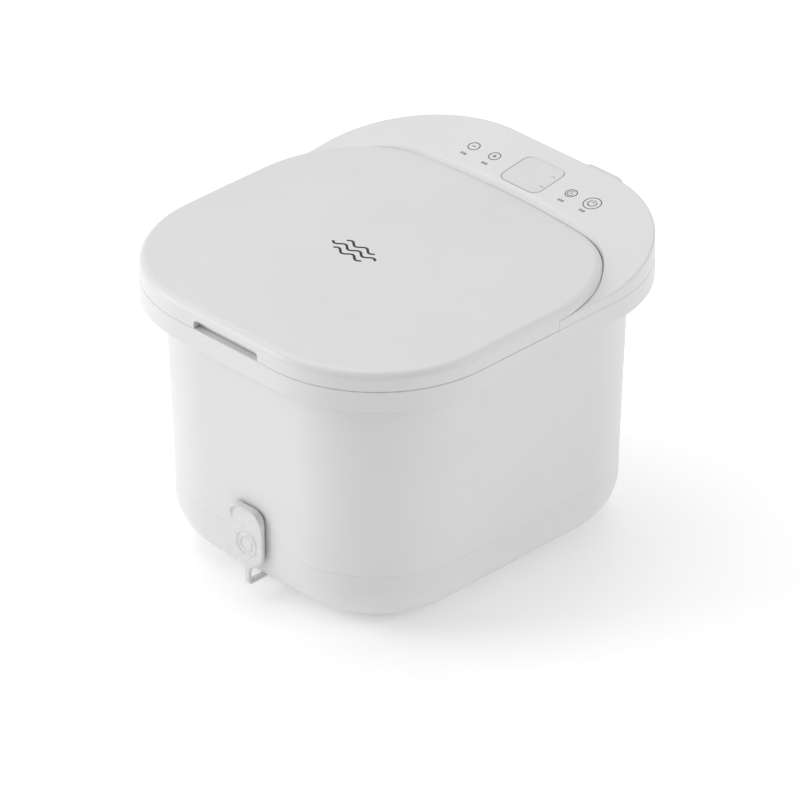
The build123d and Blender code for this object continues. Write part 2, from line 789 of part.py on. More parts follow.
strap_start_y = plug_back_y + fine_gap
strap_end_y = -143.0
with BuildPart() as plug_strap:
    with BuildSketch(section(-strap_w / 2)):
        with BuildLine():
            Polyline(
                (strap_start_y, strap_z - strap_t / 2),
                (strap_end_y, strap_z - strap_t / 2),
                (strap_end_y, strap_z + strap_t / 2),
                (strap_start_y, strap_z + strap_t / 2),
                close=True,
            )
        make_face()
    extrude(amount=strap_w)
    with BuildSketch(section(-strap_w / 2)):
        with Locations((strap_end_y - 1.5, strap_z)):
            Rectangle(3.0, 2 * strap_t)
    extrude(amount=strap_w)
plug_strap.part.label = "plug_strap"
export_step(plug_strap.part, "parts/plug_strap.step")

# ------------------------------------------------------------------ massage rollers
cradle_x = 66.0
cradle_y = -45.0
cradle_w = 100.0
cradle_d = 106.0
cheek_t = 4.0
cheek_h = 22.0
axle_z = basin_floor_z + 18.0
axle_r = 2.5
roller_bore_r = 2.56
roller_len = 86.0
roller_core_r = 10.0
roller_ridge_r = 13.5
ridge_count = 5
groove_count = 8
axle_rows = {"front": cradle_y - 25, "rear": cradle_y + 25}
sides = {"left": -1, "right": 1}

for side, sign in sides.items():
    middle_x = sign * cradle_x
    with BuildPart() as cradle:
        with BuildSketch(level(basin_floor_z)):
            with Locations((middle_x, cradle_y)):
                RectangleRounded(cradle_w, cradle_d, 6)
                RectangleRounded(cradle_w - 34, cradle_d - 24, 4, mode=Mode.SUBTRACT)
        extrude(amount=2.5)
        with BuildSketch(level(basin_floor_z + 2.5)):
            with Locations((middle_x, cradle_y)):
                with GridLocations(cradle_w - cheek_t, 0, 2, 1):
                    Rectangle(cheek_t, cradle_d - 14)
        extrude(amount=cheek_h)
        fillet(cradle.edges().filter_by(Axis.X).group_by(Axis.Z)[-1], 8.0)
        with BuildSketch(section(0)):
            with Locations(*[(y, axle_z) for y in axle_rows.values()]):
                Circle(axle_r)
        extrude(amount=sign * half_width, mode=Mode.SUBTRACT)
    cradle.part.label = f"roller_cradle_{side}"
    export_step(cradle.part, f"parts/roller_cradle_{side}.step")

    with BuildPart() as axles:
        with BuildSketch(section(middle_x - cradle_w / 2)):
            with Locations(*[(y, axle_z) for y in axle_rows.values()]):
                Circle(axle_r)
        extrude(amount=cradle_w)
    axles.part.label = f"roller_axles_{side}"
    export_step(axles.part, f"parts/roller_axles_{side}.step")

    for row, y in axle_rows.items():
        pitch = roller_len / ridge_count
        roller_start = middle_x - roller_len / 2
        axis_line = Axis((0, body_y + y, axle_z), (1, 0, 0))
        upright = Plane((roller_start, body_y + y, axle_z), x_dir=(1, 0, 0), z_dir=(0, -1, 0))
        with BuildPart() as roller:
            with BuildSketch(upright):
                with BuildLine():
                    Line((0, roller_bore_r), (0, roller_core_r))
                    for ridge in range(ridge_count):
                        ThreePointArc(
                            (ridge * pitch, roller_core_r),
                            ((ridge + 0.5) * pitch, roller_ridge_r),
                            ((ridge + 1) * pitch, roller_core_r),
                        )
                    Line((roller_len, roller_core_r), (roller_len, roller_bore_r))
                    Line((roller_len, roller_bore_r), (0, roller_bore_r))
                make_face()
            revolve(axis=axis_line)
            with BuildSketch(Plane(axis_line.position + Vector(roller_start, 0, 0), z_dir=(1, 0, 0))):
                with PolarLocations(roller_ridge_r + 1.0, groove_count):
                    Circle(3.2)
            extrude(amount=roller_len, mode=Mode.SUBTRACT)
        roller.part.label = f"roller_{side}_{row}"
        export_step(roller.part, f"parts/roller_{side}_{row}.step")

# ------------------------------------------------------------------ pump and motor
pump_x, pump_y = pump_spot
volute_r = 27.0
chamber_r = 23.0
volute_z = 40.0
volute_top_z = 62.0
outlet_y = pump_y + 17.0
outlet_z = 51.0
nipple_r = 7.0
nipple_in_r = 5.0
nipple_len = 8.0
shaft_r = 1.5
shaft_hole_r = 1.55
floor_under_z = basin_floor_z - wall
with BuildPart() as pump_housing:
    with BuildSketch(level(volute_z)):
        with Locations(pump_spot):
            Circle(volute_r)
    extrude(amount=volute_top_z - volute_z)
    with BuildSketch(level(volute_top_z)):
        with Locations(pump_spot):
            Circle(port_r + 2)
    extrude(amount=floor_under_z - volute_top_z)
    with BuildSketch(section(pump_x)):
        with Locations((outlet_y, outlet_z)):
            Circle(nipple_r)
    extrude(amount=volute_r + nipple_len)
    with BuildSketch(level(volute_z + wall)):
        with Locations(pump_spot):
            Circle(chamber_r)
    extrude(amount=volute_top_z - volute_z - 2 * wall, mode=Mode.SUBTRACT)
    with BuildSketch(level(volute_top_z - wall)):
        with Locations(pump_spot):
            Circle(port_r - 1)
    extrude(amount=floor_under_z, mode=Mode.SUBTRACT)
    with BuildSketch(section(pump_x)):
        with Locations((outlet_y, outlet_z)):
            Circle(nipple_in_r)
    extrude(amount=volute_r + nipple_len, mode=Mode.SUBTRACT)
    with BuildSketch(level(volute_z)):
        with Locations(pump_spot):
            Circle(shaft_hole_r)
    extrude(amount=wall, mode=Mode.SUBTRACT)
pump_housing.part.label = "pump_housing"
export_step(pump_housing.part, "parts/pump_housing.step")

impeller_z = volute_z + wall + 3.0
vane_count = 6
with BuildPart() as pump_impeller:
    with BuildSketch(level(impeller_z)):
        with Locations(pump_spot):
            Circle(18.0)
    extrude(amount=2.0)
    with BuildSketch(level(impeller_z + 2.0)):
        with Locations(pump_spot):
            Circle(4.5)
            with PolarLocations(10.0, vane_count):
                Rectangle(13.0, 1.4, rotation=25)
    extrude(amount=7.0)
    with BuildSketch(level(impeller_z)):
        with Locations(pump_spot):
            Circle(shaft_r)
    extrude(amount=7.0, mode=Mode.SUBTRACT)
pump_impeller.part.label = "pump_impeller"
export_step(pump_impeller.part, "parts/pump_impeller.step")

motor_r = 18.0
motor_bottom_z = underside_z + wall
motor_shaft_z = motor_bottom_z + 3.0
with BuildPart() as motor_shaft:
    with BuildSketch(level(motor_shaft_z)):
        with Locations(pump_spot):
            Circle(shaft_r)
    extrude(amount=impeller_z + 7.0 - motor_shaft_z)
motor_shaft.part.label = "motor_shaft"
export_step(motor_shaft.part, "parts/motor_shaft.step")

with BuildPart() as motor_rotor:
    with BuildSketch(level(motor_bottom_z + 7)):
        with Locations(pump_spot):
            Circle(11.0)
            Circle(shaft_r, mode=Mode.SUBTRACT)
    extrude(amount=16.0)
motor_rotor.part.label = "motor_rotor"
export_step(motor_rotor.part, "parts/motor_rotor.step")

with BuildPart() as motor_can:
    with BuildSketch(level(motor_bottom_z)):
        with Locations(pump_spot):
            Circle(motor_r)
    extrude(amount=volute_z - motor_bottom_z)
    with BuildSketch(level(motor_bottom_z + 5)):
        with Locations(pump_spot):
            Circle(motor_r - 4.5)
    extrude(amount=volute_z - motor_bottom_z - 9, mode=Mode.SUBTRACT)
    with BuildSketch(level(motor_bottom_z + 2)):
        with Locations(pump_spot):
            Circle(shaft_hole_r)
    extrude(amount=volute_z, mode=Mode.SUBTRACT)
motor_can.part.label = "motor_can"
export_step(motor_can.part, "parts/motor_can.step")

grille_r = 18.0
slot_count = 5
with BuildPart() as intake_grille:
    with BuildSketch(level(basin_floor_z)):
        with Locations(pump_spot):
            Circle(grille_r)
    extrude(amount=4.0)
    fillet(intake_grille.faces().sort_by(Axis.Z)[-1].edges(), 1.5)
    with BuildSketch(level(basin_floor_z)):
        with Locations(pump_spot):
            Circle(grille_r - 4)
    extrude(amount=2.0, mode=Mode.SUBTRACT)
    with BuildSketch(level(basin_floor_z)):
        with Locations(pump_spot):
            with GridLocations(5.0, 0, slot_count, 1):
                SlotOverall(20.0, 2.4, rotation=90)
    extrude(amount=4.0, mode=Mode.SUBTRACT)
intake_grille.part.label = "intake_grille"
export_step(intake_grille.part, "parts/intake_grille.step")

# ------------------------------------------------------------------ heater and hoses
return_x, return_y = return_spot
heater_r = 14.0
heater_start_x = 12.0
heater_len = 44.0
heater_end_x = heater_start_x + heater_len
pump_nipple_end_x = pump_x + volute_r + nipple_len
with BuildPart() as heater_tube:
    with BuildSketch(section(heater_start_x)):
        with Locations((outlet_y, outlet_z)):
            Circle(heater_r)
            Circle(heater_r - 1.2, mode=Mode.SUBTRACT)
    extrude(amount=heater_len)
heater_tube.part.label = "heater_tube"
export_step(heater_tube.part, "parts/heater_tube.step")

with BuildPart() as heater_caps:
    for start, direction in ((heater_start_x, -1), (heater_end_x, 1)):
        with BuildSketch(section(start)):
            with Locations((outlet_y, outlet_z)):
                Circle(heater_r + 1.5)
                Circle(nipple_in_r, mode=Mode.SUBTRACT)
        extrude(amount=direction * 3.0)
        with BuildSketch(section(start + direction * 3.0)):
            with Locations((outlet_y, outlet_z)):
                Circle(nipple_r)
                Circle(nipple_in_r, mode=Mode.SUBTRACT)
        extrude(amount=direction * 3.0)
heater_caps.part.label = "heater_caps"
export_step(heater_caps.part, "parts/heater_caps.step")

with BuildPart() as heater_element:
    with BuildSketch(section(heater_start_x + 3)):
        with Locations((outlet_y - 6, outlet_z), (outlet_y + 6, outlet_z)):
            Circle(2.6)
    extrude(amount=heater_len - 6)
heater_element.part.label = "heater_element"
export_step(heater_element.part, "parts/heater_element.step")

with BuildPart() as thermal_cutout:
    with BuildSketch(level(outlet_z - heater_r - 6)):
        with Locations((heater_start_x + heater_len / 2, outlet_y)):
            Circle(7.0)
    extrude(amount=5.6)
thermal_cutout.part.label = "thermal_cutout"
export_step(thermal_cutout.part, "parts/thermal_cutout.step")

with BuildPart() as pump_hose:
    with BuildSketch(section(pump_nipple_end_x)):
        with Locations((outlet_y, outlet_z)):
            Circle(nipple_r)
            Circle(nipple_in_r, mode=Mode.SUBTRACT)
    extrude(amount=heater_start_x - 6 - pump_nipple_end_x)
pump_hose.part.label = "pump_hose"
export_step(pump_hose.part, "parts/pump_hose.step")

return_points = [
    (heater_end_x + 6, body_y + outlet_y, outlet_z),
    (return_x, body_y + return_y, outlet_z),
    (return_x, body_y + return_y, floor_under_z),
]
return_hose = tube(return_points, 10.0, nipple_r, nipple_in_r)
return_hose.label = "return_hose"
export_step(return_hose, "parts/return_hose.step")

with BuildPart() as return_nozzle:
    with BuildSketch(level(basin_floor_z)):
        with Locations(return_spot):
            Circle(13.0)
    extrude(amount=5.0)
    fillet(return_nozzle.faces().sort_by(Axis.Z)[-1].edges(), 2.0)
    with BuildSketch(level(basin_floor_z)):
        with Locations(return_spot):
            with PolarLocations(6.5, 6):
                Circle(1.6)
            Circle(1.6)
    extrude(amount=5.0, mode=Mode.SUBTRACT)
return_nozzle.part.label = "return_nozzle"
export_step(return_nozzle.part, "parts/return_nozzle.step")

with BuildPart() as drain_strainer:
    with BuildSketch(level(basin_floor_z)):
        with Locations(drain_port):
            Circle(14.0)
            with PolarLocations(6.0, 6):
                Circle(1.8, mode=Mode.SUBTRACT)
            Circle(1.8, mode=Mode.SUBTRACT)
    extrude(amount=2.0)
drain_strainer.part.label = "drain_strainer"
export_step(drain_strainer.part, "parts/drain_strainer.step")

with BuildPart() as temperature_probe:
    with BuildSketch(level(floor_under_z - 6)):
        with Locations(sensor_spot):
            Circle(5.0)
    extrude(amount=6.0)
    with BuildSketch(level(floor_under_z)):
        with Locations(sensor_spot):
            Circle(sensor_r - 0.1)
    extrude(amount=8.0)
temperature_probe.part.label = "temperature_probe"
export_step(temperature_probe.part, "parts/temperature_probe.step")

# ------------------------------------------------------------------ power board in the rear space
carrier_w = 116.0
carrier_h = 78.0
carrier_x = -30.0
carrier_y = 139.0
carrier_top_z = shell_top_z
carrier_t = 2.5
board_gap = 5.0
with BuildPart() as board_carrier:
    with BuildSketch(facing_front(carrier_y)):
        with Locations((carrier_x, carrier_top_z - carrier_h / 2)):
            Rectangle(carrier_w, carrier_h)
    extrude(amount=-carrier_t)
    with BuildSketch(facing_front(carrier_y + carrier_t)):
        with Locations((carrier_x, carrier_top_z - carrier_h / 2)):
            with GridLocations(carrier_w - 14, carrier_h - 14, 2, 2):
                Circle(3.0)
    extrude(amount=-board_gap)
board_carrier.part.label = "board_carrier"
export_step(board_carrier.part, "parts/board_carrier.step")

power_board_y = carrier_y + carrier_t + board_gap
with BuildPart() as power_board:
    with BuildSketch(facing_front(power_board_y)):
        with Locations((carrier_x, carrier_top_z - carrier_h / 2)):
            Rectangle(carrier_w - 4, carrier_h - 4)
    extrude(amount=-board_t)
power_board.part.label = "power_board"
export_step(power_board.part, "parts/power_board.step")

block_sizes = {(-34, 6): (26, 24), (2, 12): (19, 15), (26, 12): (19, 15), (20, -16): (30, 12)}
with BuildPart() as board_components:
    for (x, z), (w, h) in block_sizes.items():
        with BuildSketch(facing_front(power_board_y + board_t)):
            with Locations((carrier_x + x, carrier_top_z - carrier_h / 2 + z)):
                Rectangle(w, h)
        extrude(amount=-13.0)
    with BuildSketch(facing_front(power_board_y + board_t)):
        with Locations((carrier_x - 22, carrier_top_z - carrier_h / 2 - 22)):
            Circle(6.0)
    extrude(amount=-15.0)
board_components.part.label = "board_components"
export_step(board_components.part, "parts/board_components.step")

lead_r = 1.2
lead_start_y = socket_mouth_y - pin_recess - pin_len
lead_drop_y = lead_start_y - 18.0
lead_end = Vector(carrier_x + carrier_w / 2 - 6, power_board_y + board_t, 230.0)
inlet_leads = []
for number, (x, z) in enumerate(pin_spots):
    run_z = lead_end.Z - 8 * number
    lead_points = [
        (x, body_y + lead_start_y, z),
        (x, body_y + lead_drop_y, z),
        (x, body_y + lead_drop_y, run_z),
        (lead_end.X, body_y + lead_drop_y, run_z),
        (lead_end.X, body_y + lead_end.Y, run_z),
    ]
    inlet_leads.append(tube(lead_points, 4.0, lead_r))
leads = Compound(label="inlet_leads", children=inlet_leads)
export_step(leads, "parts/inlet_leads.step")
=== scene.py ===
# Looks of the heated foot bath: moulded plastics, printed icons, a soft drain plug, studio and camera.
import json
from math import atan2, cos, hypot, pi, radians, sin, sqrt

import bmesh
import bpy
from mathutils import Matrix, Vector
from mathutils.bvhtree import BVHTree


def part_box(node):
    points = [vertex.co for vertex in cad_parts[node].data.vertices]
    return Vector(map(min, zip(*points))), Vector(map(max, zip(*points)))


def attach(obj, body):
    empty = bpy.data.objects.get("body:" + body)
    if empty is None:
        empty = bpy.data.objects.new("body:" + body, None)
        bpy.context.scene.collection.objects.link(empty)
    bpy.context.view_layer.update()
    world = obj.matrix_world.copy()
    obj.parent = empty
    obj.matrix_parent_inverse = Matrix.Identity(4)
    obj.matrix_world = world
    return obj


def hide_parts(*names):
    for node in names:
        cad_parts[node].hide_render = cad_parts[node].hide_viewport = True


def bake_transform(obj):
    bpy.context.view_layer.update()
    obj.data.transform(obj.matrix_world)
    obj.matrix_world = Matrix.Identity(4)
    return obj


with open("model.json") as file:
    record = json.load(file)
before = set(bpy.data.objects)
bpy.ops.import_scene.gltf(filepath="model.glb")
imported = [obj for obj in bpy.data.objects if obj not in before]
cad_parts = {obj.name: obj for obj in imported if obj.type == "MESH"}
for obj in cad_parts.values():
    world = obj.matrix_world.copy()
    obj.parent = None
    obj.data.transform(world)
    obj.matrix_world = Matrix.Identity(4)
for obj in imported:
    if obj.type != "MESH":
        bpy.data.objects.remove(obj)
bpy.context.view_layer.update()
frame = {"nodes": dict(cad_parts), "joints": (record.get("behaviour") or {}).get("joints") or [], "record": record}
MM = 0.001


# ------------------------------------------------------------------ material tools
class Look:
    """A node material that is built up step by step around one Principled shader."""

    def __init__(self, name):
        self.material = bpy.data.materials.new(name)
        self.material.use_nodes = True
        self.tree = self.material.node_tree
        self.tree.nodes.clear()
        output = self.tree.nodes.new("ShaderNodeOutputMaterial")
        self.shader = self.tree.nodes.new("ShaderNodeBsdfPrincipled")
        self.tree.links.new(self.shader.outputs["BSDF"], output.inputs["Surface"])
        self.place = self.tree.nodes.new("ShaderNodeTexCoord").outputs["Object"]
        self.normal = None

    def set(self, **values):
        """Constant values on the shader's own sockets."""
        for name, value in values.items():
            self.shader.inputs[name.replace("_", " ")].default_value = value

    def stretched(self, scale):
        """The object's coordinates, scaled along each axis."""
        mapping = self.tree.nodes.new("ShaderNodeMapping")
        mapping.inputs["Scale"].default_value = scale
        self.tree.links.new(self.place, mapping.inputs["Vector"])
        return mapping.outputs["Vector"]

    def noise(self, scale, detail=3.0, vector=None):
        """Noise, with its scale in cells per metre."""
        node = self.tree.nodes.new("ShaderNodeTexNoise")
        node.inputs["Scale"].default_value = scale
        node.inputs["Detail"].default_value = detail
        node.inputs["Roughness"].default_value = 0.5
        self.tree.links.new(vector or self.place, node.inputs["Vector"])
        return node.outputs["Fac"]

    def cells(self, scale, feature="F1"):
        """Voronoi distance, with its scale in cells per metre."""
        node = self.tree.nodes.new("ShaderNodeTexVoronoi")
        node.feature = feature
        node.inputs["Scale"].default_value = scale
        self.tree.links.new(self.place, node.inputs["Vector"])
        return node.outputs["Distance"]

    def ramp(self, factor, low, high, low_at=0.35, high_at=0.65):
        """Two colours with a soft step between them."""
        node = self.tree.nodes.new("ShaderNodeValToRGB")
        first, last = node.color_ramp.elements
        first.position, first.color = low_at, (*low, 1)
        last.position, last.color = high_at, (*high, 1)
        self.tree.links.new(factor, node.inputs["Fac"])
        return node.outputs["Color"]

    def spread(self, factor, low, high):
        """The middle of a noise factor mapped to the range from low to high."""
        node = self.tree.nodes.new("ShaderNodeMapRange")
        node.inputs["From Min"].default_value = 0.3
        node.inputs["From Max"].default_value = 0.7
        node.inputs["To Min"].default_value = low
        node.inputs["To Max"].default_value = high
        self.tree.links.new(factor, node.inputs["Value"])
        return node.outputs["Result"]

    def drive(self, socket, value):
        """Links a node's output to one of the shader's sockets."""
        self.tree.links.new(value, self.shader.inputs[socket])

    def bump(self, height, depth, strength):
        """One more layer of relief, depth metres deep."""
        node = self.tree.nodes.new("ShaderNodeBump")
        node.inputs["Strength"].default_value = strength
        node.inputs["Distance"].default_value = depth
        self.tree.links.new(height, node.inputs["Height"])
        if self.normal:
            self.tree.links.new(self.normal, node.inputs["Normal"])
        self.normal = node.outputs["Normal"]
        self.tree.links.new(self.normal, self.shader.inputs["Normal"])


def shade(colour, factor):
    """The colour made darker or lighter."""
    return tuple(channel * factor for channel in colour)


def moulded(name, colour, gloss, grain_depth, coat=0.0):
    """Injection-moulded plastic: even colour with faint flow clouds, and a fine sparked grain."""
    look = Look(name)
    look.set(IOR=1.49, Coat_Weight=coat, Coat_Roughness=0.12)
    look.drive("Base Color", look.ramp(look.noise(7), shade(colour, 0.985), shade(colour, 1.012)))
    look.drive("Roughness", look.spread(look.noise(30), gloss - 0.03, gloss + 0.04))
    look.bump(look.noise(11, detail=1), 0.4 * MM, 0.06)
    look.bump(look.noise(1400, detail=2), grain_depth, 0.35)
    return look.material


def silicone(name, colour, gloss=0.5):
    """Soft moulded rubber: slightly waxy, with specks of dust and a matt skin."""
    look = Look(name)
    look.set(IOR=1.42, Sheen_Weight=0.12, Sheen_Roughness=0.5)
    look.drive("Base Color", look.ramp(look.noise(160, detail=4), shade(colour, 0.95), shade(colour, 1.02)))
    look.drive("Roughness", look.spread(look.noise(90), gloss - 0.07, gloss + 0.08))
    look.bump(look.noise(900, detail=3), 0.03 * MM, 0.5)
    return look.material


def turned_steel(name, colour, stretch):
    """Steel with fine lines along the short axis of stretch."""
    look = Look(name)
    look.set(Metallic=1.0)
    lines = look.noise(60, detail=5, vector=look.stretched(stretch))
    look.drive("Base Color", look.ramp(lines, shade(colour, 0.86), shade(colour, 1.08)))
    look.drive("Roughness", look.spread(lines, 0.22, 0.40))
    look.bump(lines, 0.02 * MM, 0.5)
    return look.material


def circuit_board(name):
    """Green laminate with darker tracks and bright pads."""
    look = Look(name)
    look.set(IOR=1.5, Coat_Weight=0.4, Coat_Roughness=0.15)
    tracks = look.cells(140, feature="DISTANCE_TO_EDGE")
    look.drive("Base Color", look.ramp(tracks, (0.05, 0.24, 0.10), (0.012, 0.10, 0.035), 0.05, 0.09))
    look.drive("Roughness", look.spread(look.noise(300), 0.28, 0.42))
    look.bump(tracks, 0.06 * MM, 0.6)
    return look.material


def ink(name, colour):
    """Screen-printed ink: dense, a little uneven, with a fine tooth."""
    look = Look(name)
    look.set(IOR=1.5)
    look.drive("Base Color", look.ramp(look.noise(2200, detail=2), shade(colour, 0.8), shade(colour, 1.25)))
    look.drive("Roughness", look.spread(look.noise(700), 0.42, 0.58))
    look.bump(look.noise(2600, detail=1), 0.01 * MM, 0.4)
    return look.material


def tinted_window(name, colour):
    """Smooth display window: glossy, with a faint dot mask under its surface."""
    look = Look(name)
    look.set(IOR=1.5, Coat_Weight=0.6, Coat_Roughness=0.05)
    dots = look.cells(900)
    look.drive("Base Color", look.ramp(dots, shade(colour, 0.965), colour, 0.1, 0.5))
    look.drive("Roughness", look.spread(look.noise(60), 0.16, 0.24))
    look.bump(look.noise(25, detail=1), 0.2 * MM, 0.05)
    return look.material


WHITE = (0.715, 0.717, 0.715)
looks = {
    "shell_white": moulded("shell_white_satin", WHITE, 0.36, 0.02 * MM),
    "basin_white": moulded("basin_white_gloss", shade(WHITE, 0.98), 0.22, 0.006 * MM, coat=0.3),
    "liner_white": moulded("liner_white_matt", shade(WHITE, 0.95), 0.5, 0.05 * MM),
    "lens_white": tinted_window("display_window", shade(WHITE, 1.005)),
    "roller_grey": moulded("roller_grey_matt", (0.50, 0.51, 0.52), 0.45, 0.05 * MM),
    "plug_white": silicone("plug_white_silicone", WHITE, 0.46),
    "foot_rubber": silicone("foot_dark_rubber", (0.10, 0.10, 0.10), 0.7),
    "seal_rubber": silicone("seal_grey_silicone", (0.42, 0.42, 0.42)),
    "spout_white": moulded("spout_white_matt", shade(WHITE, 0.93), 0.42, 0.03 * MM),
    "inner_grey": moulded("inner_grey_matt", (0.16, 0.165, 0.17), 0.5, 0.05 * MM),
    "steel": turned_steel("brushed_steel_lines", (0.60, 0.60, 0.61), (0.4, 14, 14)),
    "board_green": circuit_board("board_green_tracks"),
    "part_black": moulded("part_black_matt", (0.018, 0.018, 0.02), 0.5, 0.05 * MM),
    "spring_brass": turned_steel("plated_brass_lines", (0.78, 0.62, 0.34), (8, 0.6, 8)),
}
for entry in frame["record"]["subparts"]:
    mesh = frame["nodes"][entry["node"]].data
    mesh.materials.clear()
    mesh.materials.append(looks[entry["material_slot"]])


# ------------------------------------------------------------------ mesh tools
def add_piece(name, points, faces, material):
    """A closed mesh piece, smooth-shaded, with its faces turned outwards."""
    mesh = bpy.data.meshes.new(name)
    mesh.from_pydata([tuple(p) for p in points], [], faces)
    shell = bmesh.new()
    shell.from_mesh(mesh)
    bmesh.ops.remove_doubles(shell, verts=shell.verts, dist=1e-7)
    bmesh.ops.recalc_face_normals(shell, faces=shell.faces)
    shell.to_mesh(mesh)
    shell.free()
    mesh.materials.append(material)
    mesh.shade_smooth()
    piece = bpy.data.objects.new(name, mesh)
    bpy.context.scene.collection.objects.link(piece)
    return piece


def surface_of(node):
    """The node's CAD surface, ready for finding heights on it."""
    mesh = frame["nodes"][node].data
    return BVHTree.FromPolygons([v.co for v in mesh.vertices], [tuple(p.vertices) for p in mesh.polygons])


def height_on(surface, x, y):
    """Where a plumb line through x, y first meets the surface from above."""
    hit, normal, _, _ = surface.ray_cast(Vector((x, y, ABOVE_ALL)), Vector((0, 0, -1)))
    return hit, normal


PRINT_PROUD = 0.06 * MM
PRINT_SUNK = 0.04 * MM
ABOVE_ALL = 1.0


def ribbon(surface, stroke, width, closed):
    """Corner points of a flat printed line that follows the surface, four to each point of the stroke."""
    count = len(stroke)
    rows = []
    for i, (x, y) in enumerate(stroke):
        before = stroke[(i - 1) % count] if closed or i else stroke[0]
        after = stroke[(i + 1) % count] if closed or i < count - 1 else stroke[-1]
        along = Vector((after[0] - before[0], after[1] - before[1])).normalized()
        side = Vector((-along.y, along.x)) * width / 2
        row = []
        for sign in (1, -1):
            hit, normal = height_on(surface, x + sign * side.x, y + sign * side.y)
            row += [hit + normal * PRINT_PROUD, hit - normal * PRINT_SUNK]
        rows.append((row[0], row[2], row[3], row[1]))
    return rows


def printed(name, surface, strokes, material, body):
    """One printed mark, made of flat lines. Each stroke is (points, width, closed)."""
    points, faces = [], []
    for stroke, width, closed in strokes:
        rows = ribbon(surface, stroke, width, closed)
        start = len(points)
        for row in rows:
            points += row
        last = len(rows) if closed else len(rows) - 1
        for i in range(last):
            a, b = start + 4 * i, start + 4 * ((i + 1) % len(rows))
            faces += [(a + k, a + (k + 1) % 4, b + (k + 1) % 4, b + k) for k in range(4)]
        if not closed:
            end = start + 4 * (len(rows) - 1)
            faces += [(start, start + 3, start + 2, start + 1), (end, end + 1, end + 2, end + 3)]
    piece = add_piece(name, points, faces, material)
    piece.data.shade_flat()
    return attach(piece, body)


def arc(x, y, radius, start=0.0, turn=360.0, steps=56):
    """Points along an arc, angles in degrees anticlockwise from +X."""
    count = steps if turn >= 360 else steps + 1
    angles = [radians(start + turn * i / steps) for i in range(count)]
    return [(x + radius * cos(a), y + radius * sin(a)) for a in angles]


def line(x0, y0, x1, y1, steps=6):
    """Points along a straight line."""
    return [(x0 + (x1 - x0) * i / steps, y0 + (y1 - y0) * i / steps) for i in range(steps + 1)]


# ------------------------------------------------------------------ printed marks on the deck
deck = surface_of("control_deck")
window = surface_of("display_lens")
lens_low, lens_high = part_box("display_lens")
key_y = (lens_low.y + lens_high.y) / 2
panel_x = (lens_low.x + lens_high.x) / 2
ink_dark = ink("ink_dark_grey", (0.09, 0.09, 0.095))
ink_soft = ink("ink_soft_grey", (0.33, 0.33, 0.335))
FINE = 0.95 * MM
KEY_R = 5.3 * MM
POWER_R = 8.0 * MM
DASH_PITCH = 2.3 * MM
DASH_HALF = 1.4 * MM
DASH_W = 1.35 * MM


def dashes(x, y, count):
    """A short row of plain bars under an icon."""
    first = x - DASH_PITCH * (count - 1) / 2
    places = [first + i * DASH_PITCH for i in range(count)]
    bars = [line(place, y - DASH_HALF, place, y + DASH_HALF, 3) for place in places]
    return [(bar, DASH_W, False) for bar in bars]


minus_x, plus_x, timer_x, power_x = (panel_x + x * MM for x in (-71.5, -46.3, 46.3, 71.5))
dash_drop = 12.9 * MM
bar_half = 1.9 * MM
dial_r, dial_w = 3.3 * MM, 0.75 * MM
hand_half, hand_w = 1.5 * MM, 0.85 * MM
power_ring_r = 4.0 * MM
power_bar_low, power_bar_high = 0.6 * MM, 5.0 * MM
key_marks = {
    "icon_minus": [
        (arc(minus_x, key_y, KEY_R), FINE, True),
        (line(minus_x - bar_half, key_y, minus_x + bar_half, key_y), FINE, False),
        *dashes(minus_x, key_y - dash_drop, 3),
    ],
    "icon_plus": [
        (arc(plus_x, key_y, KEY_R), FINE, True),
        (line(plus_x - bar_half, key_y, plus_x + bar_half, key_y), FINE, False),
        (line(plus_x, key_y - bar_half, plus_x, key_y + bar_half), FINE, False),
        *dashes(plus_x, key_y - dash_drop, 3),
    ],
    "icon_timer": [
        (arc(timer_x, key_y, KEY_R), FINE, True),
        (arc(timer_x, key_y, dial_r, 60, 300, 36), dial_w, False),
        (line(timer_x, key_y - hand_half, timer_x, key_y + hand_half), hand_w, False),
        *dashes(timer_x, key_y - dash_drop, 3),
    ],
    "icon_power": [
        (arc(power_x, key_y, POWER_R), FINE, True),
        (arc(power_x, key_y, power_ring_r, 125, 290, 40), FINE, False),
        (line(power_x, key_y + power_bar_low, power_x, key_y + power_bar_high), FINE, False),
        *dashes(power_x, key_y - dash_drop, 3),
    ],
}
for name, strokes in key_marks.items():
    printed(name, deck, strokes, ink_dark, "tub")


def rounded_rectangle(x, y, half_w, half_d, radius):
    """Points around a rectangle with rounded corners."""
    points = []
    for i, (sx, sy) in enumerate(((1, 1), (-1, 1), (-1, -1), (1, -1))):
        points += arc(x + sx * (half_w - radius), y + sy * (half_d - radius), radius, 90 * i, 90, 10)
    return points


frame_inset, frame_r, frame_line_w = 0.5 * MM, 8.6 * MM, 0.8 * MM
frame_half_w = (lens_high.x - lens_low.x) / 2 - frame_inset
frame_half_d = (lens_high.y - lens_low.y) / 2 - frame_inset
mark_column_x = panel_x + 17.5 * MM
tick_left, tick_right = mark_column_x - 0.4 * MM, mark_column_x + 3.0 * MM
tick_y, tick_w = key_y - 8.3 * MM, 1.1 * MM
caret_half_w, caret_low_y, caret_top_y = 1.5 * MM, key_y + 6.8 * MM, key_y + 9.0 * MM
caret = [
    (mark_column_x - caret_half_w, caret_low_y),
    (mark_column_x, caret_top_y),
    (mark_column_x + caret_half_w, caret_low_y),
]
window_marks = [
    (rounded_rectangle(panel_x, key_y, frame_half_w, frame_half_d, frame_r), frame_line_w, True),
    (line(tick_left, tick_y, tick_right, tick_y), tick_w, False),
    (caret, frame_line_w, False),
]
printed("display_frame_print", window, window_marks, ink_soft, "tub")

